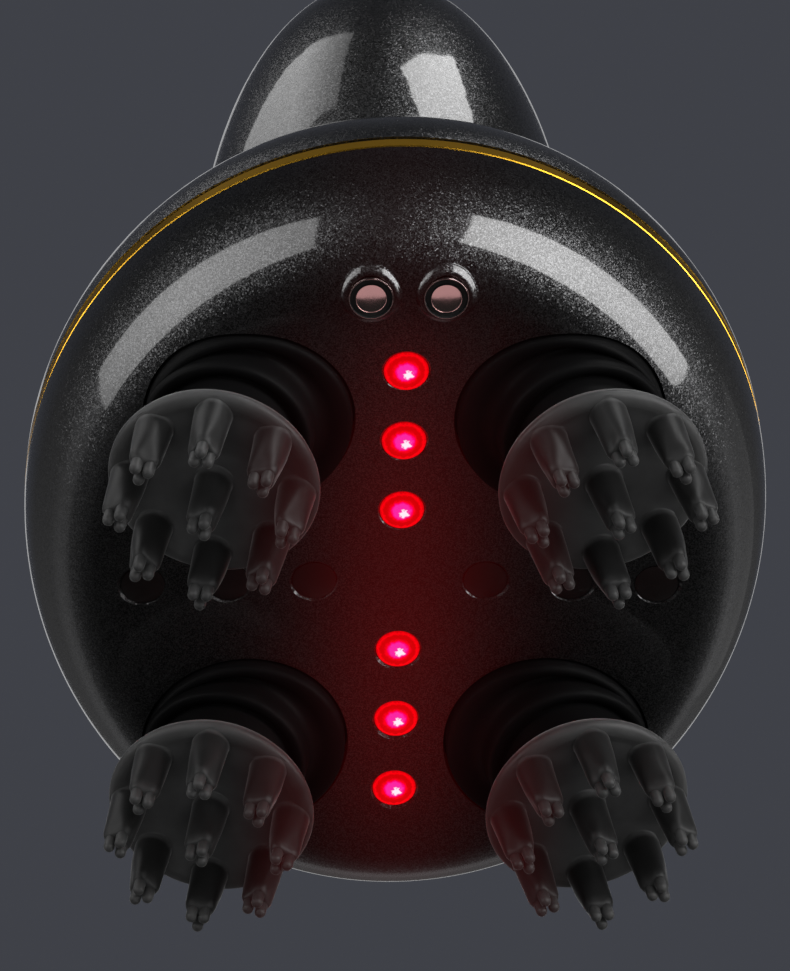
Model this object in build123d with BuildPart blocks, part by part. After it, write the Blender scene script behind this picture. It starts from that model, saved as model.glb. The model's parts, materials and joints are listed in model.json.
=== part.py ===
from build123d import *
from math import acos, atan2, cos, degrees, pi, radians, sin, sqrt, tan
import os

# Electric scalp massager, in millimetres. +Z is up. It stands on the tips of its four
# massage heads, and Z = 0 is the lowest tip. The massage face looks down, and the grip
# leans towards -Y, the side that has the charging contacts.

os.makedirs("parts", exist_ok=True)

# ---------------------------------------------------------------- driving dimensions

# Base: two shells that meet at a trim ring. Heights count from the middle of the face.
base_width = 101.0
base_length = 116.0
wall = 2.2
dish_radius = 472.0
rollover_width = 12.1
rollover_bottom = -1.9
face_floor = 1.8
ring_bottom = 17.0
ring_height = 2.2
ring_edge = 0.35
gasket_height = 0.3
gasket_recess = 0.5
shoulder_top_half_width = 14.5
shoulder_height = 25.0
loft_steps = 7
cut_margin = 1.0
tongue_depth = 5.5
tongue_wall = 1.5
tongue_clearance = 0.3

# Grip: an ellipsoid that leans over the contact side, blended into the shoulder.
grip_radius = 26.8
grip_half_length = 50.8
grip_lean = 30.0
grip_back = -6.0
grip_height = 57.0
grip_blend = 6.0

# Massage heads: discs on inclined crank pins that cross the crank axes at the pivot.
head_spacing_x = 41.2
head_tilt = 10.0
head_pivot = 12.0
head_drop = 16.0
head_radius = 14.0
finger_edge = 0.4
finger_count = 8
finger_base_radius = 2.6
finger_tip_radius = 1.85
finger_reach = 10.5
nub_radius = 0.8
nub_circle = 0.92
nub_sink = 0.3
head_dish = 1.2
head_lip = 0.7
head_belly = 1.0
head_dish_middle = 0.8
nub_count = 3

# Collars, boots and what clamps them.
collar_radius = 14.1
collar_wall = 1.8
collar_height = 3.0
boot_wall = 1.4
boot_flange = 1.6
boot_web_height = -1.0
boot_clearance = 0.4
boot_step = 2.4
boot_step_start = 12.0
boot_step_end = 17.0
boot_neck_step = 2.3
boot_end = 22.0
stem_radius = 5.5
stem_seal_radius = 7.5
stem_seal_start = 18.0
stem_top = 6.5
head_edge = 3.5
stem_disc_height = 2.2
stem_disc_depth = 2.2
stem_recess_depth = 1.7
stem_recess_clearance = 0.5
stem_screw_radius = 3.4
stem_screw_height = 1.4
stem_screw_depth = 5.0
crank_pin_depth = 5.0

# Drive: motor pinion, compound wheel, sun wheel, four crank wheels.
drive_module = 0.9
crank_teeth = 30
sun_teeth = 45
lay_teeth = 11
wheel_teeth = 72
pinion_teeth = 12
tooth_tip = 0.85
tooth_root = 1.15
tooth_backlash = 0.16
flank_start = 0.01
pressure_angle = radians(20)
running_clearance = 0.05
face_clearance = 0.1
base_plate_bottom = 9.0
base_plate_height = 2.0
gear_bottom = 12.0
gear_height = 5.0
mid_plate_bottom = 18.0
mid_plate_height = 1.5
wheel_bottom = 20.5
wheel_height = 3.0
motor_plate_bottom = 24.5
motor_plate_height = 2.0
plate_margin = 2.3
plate_gap = 0.6
crank_journal_radius = 7.0
crank_top_radius = 6.0
crank_pin_radius = 2.5
crank_flange_radius = 4.2
crank_flange_height = 1.0
crank_shoulder = 2.0
sun_pin_radius = 3.0
lay_pin_radius = 1.5
lay_hole_clearance = 0.5
motor_radius = 12.0
motor_length = 27.0
motor_cap_height = 2.0
motor_cap_taper = 15
motor_boss_radius = 3.0
motor_shaft_radius = 1.0
post_x = 15.5
post_y = 44.6
post_radius = 2.2
screw_radius = 1.2
screw_head_radius = 2.2
screw_head_height = 1.8
boss_x = 42.0
boss_y = 41.2
boss_radius = 3.0
boss_screw_depth = 5.0
post_screw_depth = 5.0
motor_screw_offset = 8.0
motor_screw_depth = 2.5
motor_shaft_depth = 12.0

# Lights and charging contacts on the face.
light_pitch = 11.5
lights_per_arm = 3
lens_radius = 2.95
lens_flange_radius = 3.5
lens_flange_height = 1.0
lens_recess = 0.15
led_width = 3.2
led_height = 1.6
light_board_half_width = 3.8
light_board_end = 1.0
light_board_height = 1.2
board_post_radius = 1.6
board_screw_radius = 0.8
board_screw_depth = 2.0
board_screw_head_height = 1.2
contact_x = 4.9
contact_y = 46.75
contact_radius = 1.95
contact_seal_radius = 2.95
contact_proud = 0.2
contact_length = 6.0
contact_head_radius = 2.55
contact_head_height = 0.8

# Battery, boards and the power button in the grip.
cell_radius = 8.2
cell_length = 34.0
cell_start = 9.0
cell_offset = -1.5
cell_edge = 0.6
cell_tip_radius = 2.5
cell_tip_height = 0.8
cradle_wall = 1.3
bulkhead_height = 1.4
bulkhead_flat = 14.0
cradle_length = 24.0
seat_clearance = 0.2
main_board_gap = 4.0
board_height = 1.6
main_board_width = 44.0
main_board_length = 50.0
main_board_middle = 5.0
main_board_post_x = 18.0
main_board_post_inset = 4.0
main_board_clearance = 1.2
chip_width = 7.0
driver_width = 4.0
driver_length = 5.0
connector_x = 10.0
connector_width = 5.0
connector_length = 3.0
chip_height = 1.2
capacitor_radius = 2.5
capacitor_height = 5.0
button_station = 15.0
button_radius = 6.35
button_clearance = 0.1
button_travel = 0.8
bezel_radius = 8.6
bezel_wall = 1.2
bezel_proud = 0.4
bezel_edge = 0.3
button_lip = 2.4
button_lip_height = 1.0
button_proud = 1.0
button_edge = 0.8
switch_depth = 7.0
switch_width = 6.0
switch_body_height = 2.1
switch_plunger_radius = 1.6
spring_radius = 5.6
spring_wall = 0.8

# ---------------------------------------------------------------- derived sizes

half_width = base_width / 2
shoulder_width = half_width - shoulder_top_half_width
half_length = base_length / 2
tilt = radians(head_tilt)
lean = radians(grip_lean)

crank_distance = drive_module * (sun_teeth + crank_teeth) / 2
lay_distance = drive_module * (sun_teeth + lay_teeth) / 2
motor_module = 2 * lay_distance / (wheel_teeth + pinion_teeth)
head_x = head_spacing_x / 2
head_y = sqrt(crank_distance**2 - head_x**2)
head_centres = [(head_x, -head_y), (head_x, head_y), (-head_x, head_y), (-head_x, -head_y)]

rim_distance = (head_pivot + head_drop) / cos(tilt)
nub_distance = rim_distance + finger_reach - nub_radius
finger_circle = head_radius - finger_edge - finger_base_radius
stem_disc_radius = head_radius - head_edge
lowest_nub = nub_distance * cos(tilt) + (finger_circle + nub_circle) * sin(tilt) + nub_radius
face_height = lowest_nub - head_pivot

tongue_half_width = half_width - wall - tongue_clearance
tongue_half_length = half_length - wall - tongue_clearance
ring_top = ring_bottom + ring_height
shoulder_bottom = ring_top + gasket_height
base_plate_top = base_plate_bottom + base_plate_height
gear_top = gear_bottom + gear_height
mid_plate_top = mid_plate_bottom + mid_plate_height
wheel_top = wheel_bottom + wheel_height
motor_plate_top = motor_plate_bottom + motor_plate_height
motor_top = motor_plate_top + motor_length
main_board_bottom = motor_plate_top + main_board_gap
main_board_top = main_board_bottom + board_height
disc_end = rim_distance - stem_disc_depth
disc_start = disc_end - stem_disc_height
recess_floor = disc_end - stem_recess_depth
pin_end = recess_floor + face_clearance
finger_root = rim_distance - head_dish - head_lip
finger_end = nub_distance - nub_sink
mid_plate_half_width = tongue_half_width - tongue_wall - seat_clearance
mid_plate_half_length = tongue_half_length - tongue_wall - seat_clearance
lens_top = face_floor + lens_flange_height
led_bottom = lens_top + seat_clearance
light_board_bottom = led_bottom + led_height
light_board_top = light_board_bottom + light_board_height
light_offsets = [light_pitch * n for n in range(1, lights_per_arm + 1)]
boot_flange_top = collar_height + boot_flange
boot_flange_radius = collar_radius + boot_flange
boot_radius = collar_radius - boot_clearance
boot_step_radius = boot_radius - boot_step
boot_neck_radius = boot_step_radius - boot_neck_step
board_post_offset = 1.5 * light_pitch
boss_points = [(boss_x, 0), (-boss_x, 0), (0, boss_y), (0, -boss_y)]
board_post_points = [(board_post_offset, 0), (-board_post_offset, 0),
                     (0, board_post_offset), (0, -board_post_offset)]
post_points = [(x, y) for x in (-post_x, post_x) for y in (-post_y, post_y)]
motor_screw_points = [(-motor_screw_offset, 0), (motor_screw_offset, 0)]
main_board_post_y = main_board_length / 2 - main_board_post_inset
main_board_posts = [(x, main_board_middle + y) for x in (-main_board_post_x, main_board_post_x)
                    for y in (-main_board_post_y, main_board_post_y)]
lay_centre = (0, lay_distance)
finger_taper = degrees(atan2(finger_base_radius - finger_tip_radius, finger_end - finger_root))
bulkhead_radius = (grip_radius - wall) * sqrt(
    1 - (cell_start / (grip_half_length - wall)) ** 2) - seat_clearance
lay_hole_radius = drive_module * (lay_teeth / 2 + tooth_tip) + lay_hole_clearance
light_points_y = [(0, side * y) for side in (-1, 1) for y in light_offsets]
light_points_x = [(side * x, 0) for side in (-1, 1) for x in light_offsets]


# ---------------------------------------------------------------- helpers

def level(height):
    """Horizontal plane at a height above the middle of the massage face."""
    return Plane.XY.offset(face_height + height)


def quarter(steps, width, height):
    """Inset and rise along a quarter ellipse, from its upright end to its level end."""
    angles = [pi / 2 * n / steps for n in range(steps + 1)]
    return [(width * (1 - cos(a)), height * sin(a)) for a in angles]


def dish_drop(x, y):
    """How far the dished face lies below its middle at a point."""
    return dish_radius - sqrt(dish_radius**2 - x**2 - y**2)


def shoulder_inset(height):
    """How far the shoulder's inner wall has moved in at a height above the face."""
    rise = (height - shoulder_bottom) / (shoulder_height - wall)
    return shoulder_width * (1 - sqrt(1 - rise**2))


def side_of(centre):
    return 1 if centre[0] > 0 else -1


def head_axis(centre):
    """Direction of a head's own axis, down and outwards."""
    return Vector(side_of(centre) * sin(tilt), 0, -cos(tilt))


def pivot_of(centre):
    return Vector(centre[0], centre[1], face_height + head_pivot)


def head_plane(centre, distance):
    """Plane across a head's axis, at a distance from the pivot along the axis."""
    outward = Vector(side_of(centre) * cos(tilt), 0, sin(tilt))
    origin = pivot_of(centre) + head_axis(centre) * distance
    return Plane(origin=origin, x_dir=outward, z_dir=head_axis(centre))


def head_section(centre):
    """Plane through a head's axis: x is the radius, y the distance from the pivot."""
    outward = Vector(side_of(centre) * cos(tilt), 0, sin(tilt))
    return Plane(origin=pivot_of(centre), x_dir=outward, z_dir=outward.cross(head_axis(centre)))


def wheel_plane(centre, height):
    """Level plane with its origin on a wheel's axis."""
    return Plane(origin=(centre[0], centre[1], face_height + height))


def involute(angle):
    return tan(angle) - angle


def gear_points(module, teeth, first_tooth):
    """Outline of a spur gear; first_tooth is the angle of the middle of one tooth."""
    pitch_radius = module * teeth / 2
    base_radius = pitch_radius * cos(pressure_angle)
    root_radius = pitch_radius - tooth_root * module
    tip_radius = pitch_radius + tooth_tip * module
    half_tooth = (pi * module / 2 - tooth_backlash) / 2 / pitch_radius
    low_flank = max(root_radius, base_radius)
    flank = []
    for radius in (root_radius, low_flank + flank_start, (low_flank + tip_radius) / 2, tip_radius):
        roll = acos(min(1, base_radius / radius))
        flank.append((radius, half_tooth + involute(pressure_angle) - involute(roll)))
    points = []
    for n in range(teeth):
        middle = radians(first_tooth) + 2 * pi * n / teeth
        for radius, half in flank:
            points.append((radius * cos(middle - half), radius * sin(middle - half)))
        for radius, half in reversed(flank):
            points.append((radius * cos(middle + half), radius * sin(middle + half)))
    return points


def meshed_tooth(direction, teeth, first_tooth, other_teeth):
    """First tooth angle of a wheel that meshes with another one lying at a direction."""
    pitch = 360 / teeth
    offset = (first_tooth - direction) % pitch
    return direction + 180 - offset * teeth / other_teeth + 180 / other_teeth


grip_axis = Vector(0, -sin(lean), cos(lean))
grip_up = Vector(0, cos(lean), sin(lean))
grip_centre = Vector(0, grip_back, face_height + grip_height)


def grip_plane(station):
    """Plane across the grip's long axis, at a distance from the grip's middle."""
    return Plane(origin=grip_centre + grip_axis * station, x_dir=(1, 0, 0), z_dir=grip_axis)


def grip_section():
    """Plane through the grip's long axis, which is its y direction."""
    return Plane(origin=grip_centre, x_dir=(1, 0, 0), z_dir=grip_up * -1)


# The button stands on the grip's surface, square to it.
button_out = grip_radius * sqrt(1 - (button_station / grip_half_length) ** 2)
button_foot = grip_centre + grip_axis * button_station + grip_up * button_out
button_normal = (
    grip_axis * (button_station / grip_half_length**2) + grip_up * (button_out / grip_radius**2)
).normalized()


def button_plane(height):
    return Plane(origin=button_foot + button_normal * height, x_dir=(1, 0, 0), z_dir=button_normal)


# The contacts stand on the roll-over, square to it.
contact_rise = (ring_bottom - rollover_bottom) * (
    1 - sqrt(1 - ((contact_y - half_length + rollover_width) / rollover_width) ** 2)
)
contact_height = rollover_bottom + contact_rise
contact_slope = (
    (ring_bottom - rollover_bottom)
    * (contact_y - half_length + rollover_width)
    / rollover_width**2
)
contact_normal = Vector(0, -contact_slope, -1).normalized()


def contact_plane(side, height):
    """Plane across a contact, at a height out of the face."""
    foot = Vector(side * contact_x, -contact_y, face_height + contact_height)
    return Plane(origin=foot + contact_normal * height, x_dir=(1, 0, 0), z_dir=contact_normal)


motor_plate_inset = tongue_wall + shoulder_inset(motor_plate_top) + plate_gap
motor_plate_half_width = tongue_half_width - motor_plate_inset
motor_plate_half_length = tongue_half_length - motor_plate_inset

# ---------------------------------------------------------------- lower housing

rollover_rise = ring_bottom - rollover_bottom
inner_rise = ring_bottom - face_floor

# The hollow leaves the collars, the screw bosses and the light board's posts standing.
with BuildPart() as housing_hollow:
    for inset, drop in reversed(quarter(loft_steps, rollover_width - wall, inner_rise)):
        with BuildSketch(level(ring_bottom - drop)):
            Ellipse(half_width - wall - inset, half_length - wall - inset)
    loft()
    for points, radius, top in (
        (head_centres, collar_radius + collar_wall, collar_height),
        (boss_points, boss_radius, base_plate_bottom),
        (board_post_points, board_post_radius, light_board_bottom),
    ):
        with BuildSketch(level(rollover_bottom)):
            with Locations(*points):
                Circle(radius)
        extrude(amount=top - rollover_bottom, mode=Mode.SUBTRACT)

with BuildPart() as lower_housing:
    for inset, drop in reversed(quarter(loft_steps, rollover_width, rollover_rise)):
        with BuildSketch(level(ring_bottom - drop)):
            Ellipse(half_width - inset, half_length - inset)
    loft()
    add(housing_hollow.part, mode=Mode.SUBTRACT)
    with Locations((0, 0, face_height - dish_radius)):
        Sphere(dish_radius, mode=Mode.SUBTRACT)
    with BuildSketch(level(collar_height)):
        with Locations(*head_centres):
            Circle(boot_flange_radius + face_clearance)
    extrude(amount=base_plate_bottom - collar_height, mode=Mode.SUBTRACT)
    with BuildSketch(level(rollover_bottom - cut_margin)):
        with Locations(*head_centres):
            Circle(collar_radius)
        with Locations(*light_points_x, *light_points_y):
            Circle(lens_radius)
    extrude(amount=collar_height - rollover_bottom + 2 * cut_margin, mode=Mode.SUBTRACT)
    with BuildSketch(level(base_plate_bottom)):
        with Locations(*boss_points):
            Circle(screw_radius)
    extrude(amount=-boss_screw_depth - face_clearance, mode=Mode.SUBTRACT)
    with BuildSketch(level(light_board_bottom)):
        with Locations(*board_post_points):
            Circle(board_screw_radius)
    extrude(amount=-board_screw_depth - face_clearance, mode=Mode.SUBTRACT)
    for side in (-1, 1):
        with BuildSketch(contact_plane(side, cut_margin)):
            Circle(contact_seal_radius)
        extrude(amount=-contact_length - 2 * cut_margin, mode=Mode.SUBTRACT)
lower_housing.part.label = "lower_housing"
export_step(lower_housing.part, "parts/lower_housing.step")

# ---------------------------------------------------------------- trim ring and gasket

with BuildPart() as trim_ring:
    with BuildSketch(level(ring_bottom)):
        Ellipse(half_width, half_length)
        Ellipse(half_width - wall, half_length - wall, mode=Mode.SUBTRACT)
    extrude(amount=ring_height)
    outer_edges = trim_ring.edges().sort_by(SortBy.LENGTH)[-2:]
    chamfer(outer_edges, ring_edge)
trim_ring.part.label = "trim_ring"
export_step(trim_ring.part, "parts/trim_ring.step")

with BuildPart() as housing_gasket:
    with BuildSketch(level(ring_top)):
        Ellipse(half_width - gasket_recess, half_length - gasket_recess)
        Ellipse(half_width - wall, half_length - wall, mode=Mode.SUBTRACT)
    extrude(amount=gasket_height)
housing_gasket.part.label = "housing_gasket"
export_step(housing_gasket.part, "parts/housing_gasket.step")

# ---------------------------------------------------------------- upper housing

with BuildPart() as upper_housing:
    for inset, rise in quarter(loft_steps, shoulder_width, shoulder_height):
        with BuildSketch(level(shoulder_bottom + rise)):
            Ellipse(half_width - inset, half_length - inset)
    loft()
    with BuildSketch(grip_section()):
        Ellipse(grip_radius, grip_half_length)
        Rectangle(2 * grip_radius, 2 * (grip_half_length + cut_margin), align=(Align.MIN, Align.CENTER),
                  mode=Mode.SUBTRACT)
    revolve(axis=Axis(grip_centre, grip_axis))
    split(bisect_by=level(shoulder_bottom), keep=Keep.TOP)
    waist = upper_housing.edges().filter_by(GeomType.BSPLINE).filter_by(
        lambda edge: edge.bounding_box().min.Z > face_height + shoulder_bottom + wall)
    fillet(waist, grip_blend)
    with BuildSketch(level(shoulder_bottom)):
        Ellipse(tongue_half_width, tongue_half_length)
    extrude(amount=-tongue_depth)
    with BuildSketch(level(shoulder_bottom - tongue_depth)):
        Ellipse(tongue_half_width - tongue_wall, tongue_half_length - tongue_wall)
    extrude(amount=tongue_depth, mode=Mode.SUBTRACT)
    for inset, rise in quarter(loft_steps, shoulder_width, shoulder_height - wall):
        with BuildSketch(level(shoulder_bottom + rise)):
            Ellipse(tongue_half_width - tongue_wall - inset,
                    tongue_half_length - tongue_wall - inset)
    loft(mode=Mode.SUBTRACT)
    with BuildSketch(grip_section()):
        Ellipse(grip_radius - wall, grip_half_length - wall)
        Rectangle(2 * grip_radius, 2 * (grip_half_length + cut_margin), align=(Align.MIN, Align.CENTER),
                  mode=Mode.SUBTRACT)
    revolve(axis=Axis(grip_centre, grip_axis), mode=Mode.SUBTRACT)
    with BuildSketch(button_plane(-switch_depth)):
        Circle(bezel_radius)
    extrude(amount=switch_depth + cut_margin, mode=Mode.SUBTRACT)
upper_housing.part.label = "upper_housing"
export_step(upper_housing.part, "parts/upper_housing.step")

# ---------------------------------------------------------------- massage face lights

# Each light is a flat lens in the face, an LED above it and one board above them all.
for name, points in (("red_lenses", light_points_y), ("side_lenses", light_points_x)):
    with BuildPart() as lenses:
        for x, y in points:
            lens_bottom = lens_recess - dish_drop(x, y)
            with BuildSketch(level(lens_bottom)):
                with Locations((x, y)):
                    Circle(lens_radius)
            extrude(amount=face_floor - lens_bottom)
            with BuildSketch(level(face_floor)):
                with Locations((x, y)):
                    Circle(lens_flange_radius)
            extrude(amount=lens_top - face_floor)
    lenses.part.label = name
    export_step(lenses.part, f"parts/{name}.step")

with BuildPart() as leds:
    with BuildSketch(level(led_bottom)):
        with Locations(*light_points_x, *light_points_y):
            Rectangle(led_width, led_width)
    extrude(amount=led_height)
leds.part.label = "leds"
export_step(leds.part, "parts/leds.step")

with BuildPart() as light_board:
    arm = 2 * (light_offsets[-1] + led_width / 2 + light_board_end)
    with BuildSketch(level(light_board_bottom)):
        Rectangle(arm, 2 * light_board_half_width)
        Rectangle(2 * light_board_half_width, arm)
        with Locations(*board_post_points):
            Circle(board_screw_radius, mode=Mode.SUBTRACT)
    extrude(amount=light_board_height)
light_board.part.label = "light_board"
export_step(light_board.part, "parts/light_board.step")

with BuildPart() as board_screws:
    with BuildSketch(level(light_board_top)):
        with Locations(*board_post_points):
            Circle(2 * board_screw_radius)
    extrude(amount=board_screw_head_height)
    with BuildSketch(level(light_board_top)):
        with Locations(*board_post_points):
            Circle(board_screw_radius)
    extrude(amount=-light_board_height - board_screw_depth)
board_screws.part.label = "board_screws"
export_step(board_screws.part, "parts/board_screws.step")

# ---------------------------------------------------------------- charging contacts

with BuildPart() as contact_pins:
    for side in (-1, 1):
        with BuildSketch(contact_plane(side, contact_proud)):
            Circle(contact_radius)
        extrude(amount=-contact_length)
        with BuildSketch(contact_plane(side, contact_proud - contact_length)):
            Circle(contact_head_radius)
        extrude(amount=-contact_head_height)
contact_pins.part.label = "contact_pins"
export_step(contact_pins.part, "parts/contact_pins.step")

with BuildPart() as contact_seals:
    for side in (-1, 1):
        with BuildSketch(contact_plane(side, 0)):
            Circle(contact_seal_radius)
            Circle(contact_radius, mode=Mode.SUBTRACT)
        extrude(amount=contact_proud - contact_length)
contact_seals.part.label = "contact_seals"
export_step(contact_seals.part, "parts/contact_seals.step")

# ---------------------------------------------------------------- gearbox plates

with BuildPart() as base_plate:
    with BuildSketch(level(base_plate_bottom)):
        Ellipse(half_width - wall - plate_margin, half_length - wall - plate_margin)
        with Locations(*head_centres):
            Circle(crank_journal_radius, mode=Mode.SUBTRACT)
        with Locations(*boss_points):
            Circle(screw_radius + running_clearance, mode=Mode.SUBTRACT)
        Circle(sun_pin_radius, mode=Mode.SUBTRACT)
        with Locations(lay_centre):
            Circle(lay_pin_radius, mode=Mode.SUBTRACT)
    extrude(amount=base_plate_height)
    with BuildSketch(level(base_plate_top)):
        with Locations(*post_points):
            Circle(post_radius)
    extrude(amount=mid_plate_bottom - base_plate_top)
    with BuildSketch(level(mid_plate_bottom)):
        with Locations(*post_points):
            Circle(screw_radius)
    extrude(amount=-post_screw_depth, mode=Mode.SUBTRACT)
base_plate.part.label = "gearbox_base_plate"
export_step(base_plate.part, "parts/gearbox_base_plate.step")

with BuildPart() as mid_plate:
    with BuildSketch(level(mid_plate_bottom)):
        Ellipse(mid_plate_half_width, mid_plate_half_length)
        with Locations(*head_centres):
            Circle(crank_top_radius, mode=Mode.SUBTRACT)
        Circle(sun_pin_radius, mode=Mode.SUBTRACT)
        with Locations(lay_centre):
            Circle(lay_hole_radius, mode=Mode.SUBTRACT)
    extrude(amount=mid_plate_height)
    with BuildSketch(level(mid_plate_top)):
        with Locations(*post_points):
            Circle(post_radius)
    extrude(amount=motor_plate_bottom - mid_plate_top)
    with BuildSketch(level(mid_plate_bottom)):
        with Locations(*post_points):
            Circle(screw_radius + running_clearance)
    extrude(amount=motor_plate_bottom - mid_plate_bottom, mode=Mode.SUBTRACT)
mid_plate.part.label = "gearbox_mid_plate"
export_step(mid_plate.part, "parts/gearbox_mid_plate.step")

with BuildPart() as motor_plate:
    with BuildSketch(level(motor_plate_bottom)):
        Ellipse(motor_plate_half_width, motor_plate_half_length)
        with Locations(*post_points):
            Circle(screw_radius + running_clearance, mode=Mode.SUBTRACT)
        with Locations(*motor_screw_points):
            Circle(screw_radius + running_clearance, mode=Mode.SUBTRACT)
        Circle(motor_boss_radius, mode=Mode.SUBTRACT)
        with Locations(lay_centre):
            Circle(lay_pin_radius, mode=Mode.SUBTRACT)
    extrude(amount=motor_plate_height)
    with BuildSketch(level(motor_plate_top)):
        with Locations(*main_board_posts):
            Circle(2 * screw_radius)
    extrude(amount=main_board_bottom - motor_plate_top)
    with BuildSketch(level(main_board_bottom)):
        with Locations(*main_board_posts):
            Circle(screw_radius)
    extrude(amount=motor_plate_top - main_board_bottom, mode=Mode.SUBTRACT)
motor_plate.part.label = "motor_plate"
export_step(motor_plate.part, "parts/motor_plate.step")

# Screws that hold the stack: base plate to the housing, plates to each other, the motor.
with BuildPart() as base_screws:
    with BuildSketch(level(base_plate_top)):
        with Locations(*boss_points):
            Circle(screw_head_radius)
    extrude(amount=screw_head_height)
    with BuildSketch(level(base_plate_top)):
        with Locations(*boss_points):
            Circle(screw_radius)
    extrude(amount=-base_plate_height - boss_screw_depth)
base_screws.part.label = "base_plate_screws"
export_step(base_screws.part, "parts/base_plate_screws.step")

with BuildPart() as stack_screws:
    with BuildSketch(level(motor_plate_top)):
        with Locations(*post_points):
            Circle(screw_head_radius)
    extrude(amount=screw_head_height)
    with BuildSketch(level(motor_plate_top)):
        with Locations(*post_points):
            Circle(screw_radius)
    extrude(amount=mid_plate_bottom - motor_plate_top - post_screw_depth)
stack_screws.part.label = "gearbox_screws"
export_step(stack_screws.part, "parts/gearbox_screws.step")

with BuildPart() as motor_screws:
    with BuildSketch(level(motor_plate_bottom)):
        with Locations(*motor_screw_points):
            Circle(screw_head_radius)
    extrude(amount=-screw_head_height)
    with BuildSketch(level(motor_plate_bottom)):
        with Locations(*motor_screw_points):
            Circle(screw_radius)
    extrude(amount=motor_plate_height + motor_screw_depth)
motor_screws.part.label = "motor_screws"
export_step(motor_screws.part, "parts/motor_screws.step")

# ---------------------------------------------------------------- motor

with BuildPart() as motor_can:
    with BuildSketch(level(motor_plate_top)):
        Circle(motor_radius)
    extrude(amount=motor_length)
    with BuildSketch(level(motor_plate_top)):
        Circle(motor_boss_radius)
    extrude(amount=-motor_plate_height)
    with BuildSketch(level(motor_plate_top)):
        with Locations(*motor_screw_points):
            Circle(screw_radius)
    extrude(amount=motor_screw_depth, mode=Mode.SUBTRACT)
    with BuildSketch(level(motor_plate_bottom)):
        Circle(motor_shaft_radius + running_clearance)
    extrude(amount=motor_shaft_depth, mode=Mode.SUBTRACT)
motor_can.part.label = "motor_can"
export_step(motor_can.part, "parts/motor_can.step")

with BuildPart() as motor_end_cap:
    with BuildSketch(level(motor_top)):
        Circle(motor_radius)
    extrude(amount=motor_cap_height, taper=motor_cap_taper)
    with BuildSketch(level(motor_top + motor_cap_height)):
        Circle(motor_boss_radius)
    extrude(amount=motor_cap_height / 2)
motor_end_cap.part.label = "motor_end_cap"
export_step(motor_end_cap.part, "parts/motor_end_cap.step")

with BuildPart() as motor_shaft:
    with BuildSketch(level(wheel_bottom - face_clearance)):
        Circle(motor_shaft_radius)
    extrude(amount=motor_plate_bottom + motor_shaft_depth - wheel_bottom)
motor_shaft.part.label = "motor_shaft"
export_step(motor_shaft.part, "parts/motor_shaft.step")

motor_first_tooth = 90
wheel_first_tooth = meshed_tooth(90, pinion_teeth, motor_first_tooth, wheel_teeth)
with BuildPart() as motor_pinion:
    with BuildSketch(level(wheel_bottom - face_clearance)):
        with BuildLine():
            Polyline(*gear_points(motor_module, pinion_teeth, motor_first_tooth), close=True)
        make_face()
        Circle(motor_shaft_radius, mode=Mode.SUBTRACT)
    extrude(amount=wheel_height + 2 * face_clearance)
motor_pinion.part.label = "motor_pinion"
export_step(motor_pinion.part, "parts/motor_pinion.step")

# ---------------------------------------------------------------- gear train

sun_first_tooth = 0
lay_first_tooth = meshed_tooth(90, sun_teeth, sun_first_tooth, lay_teeth)

with BuildPart() as sun_gear:
    with BuildSketch(level(gear_bottom)):
        with BuildLine():
            Polyline(*gear_points(drive_module, sun_teeth, sun_first_tooth), close=True)
        make_face()
    extrude(amount=gear_height)
    with BuildSketch(level(base_plate_top + face_clearance)):
        Circle(2 * sun_pin_radius)
    extrude(amount=mid_plate_bottom - base_plate_top - 2 * face_clearance)
    with BuildSketch(level(base_plate_top)):
        Circle(sun_pin_radius + running_clearance)
    extrude(amount=mid_plate_bottom - base_plate_top, mode=Mode.SUBTRACT)
sun_gear.part.label = "sun_gear"
export_step(sun_gear.part, "parts/sun_gear.step")

with BuildPart() as sun_pin:
    with BuildSketch(level(base_plate_bottom)):
        Circle(sun_pin_radius)
    extrude(amount=mid_plate_top - base_plate_bottom)
sun_pin.part.label = "sun_pin"
export_step(sun_pin.part, "parts/sun_pin.step")

with BuildPart() as compound_gear:
    with BuildSketch(wheel_plane(lay_centre, base_plate_top + face_clearance)):
        with BuildLine():
            Polyline(*gear_points(drive_module, lay_teeth, lay_first_tooth), close=True)
        make_face()
    extrude(amount=wheel_bottom - base_plate_top - face_clearance)
    with BuildSketch(wheel_plane(lay_centre, wheel_bottom)):
        with BuildLine():
            Polyline(*gear_points(motor_module, wheel_teeth, wheel_first_tooth), close=True)
        make_face()
    extrude(amount=wheel_height)
    with BuildSketch(wheel_plane(lay_centre, wheel_top)):
        Circle(3 * lay_pin_radius)
    extrude(amount=motor_plate_bottom - wheel_top - face_clearance)
    with BuildSketch(wheel_plane(lay_centre, base_plate_top)):
        Circle(lay_pin_radius + running_clearance)
    extrude(amount=motor_plate_bottom - base_plate_top, mode=Mode.SUBTRACT)
compound_gear.part.label = "compound_gear"
export_step(compound_gear.part, "parts/compound_gear.step")

with BuildPart() as lay_pin:
    with BuildSketch(wheel_plane(lay_centre, base_plate_bottom)):
        Circle(lay_pin_radius)
    extrude(amount=motor_plate_top - base_plate_bottom)
lay_pin.part.label = "layshaft_pin"
export_step(lay_pin.part, "parts/layshaft_pin.step")

# ---------------------------------------------------------------- cranks, boots and heads

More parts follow.
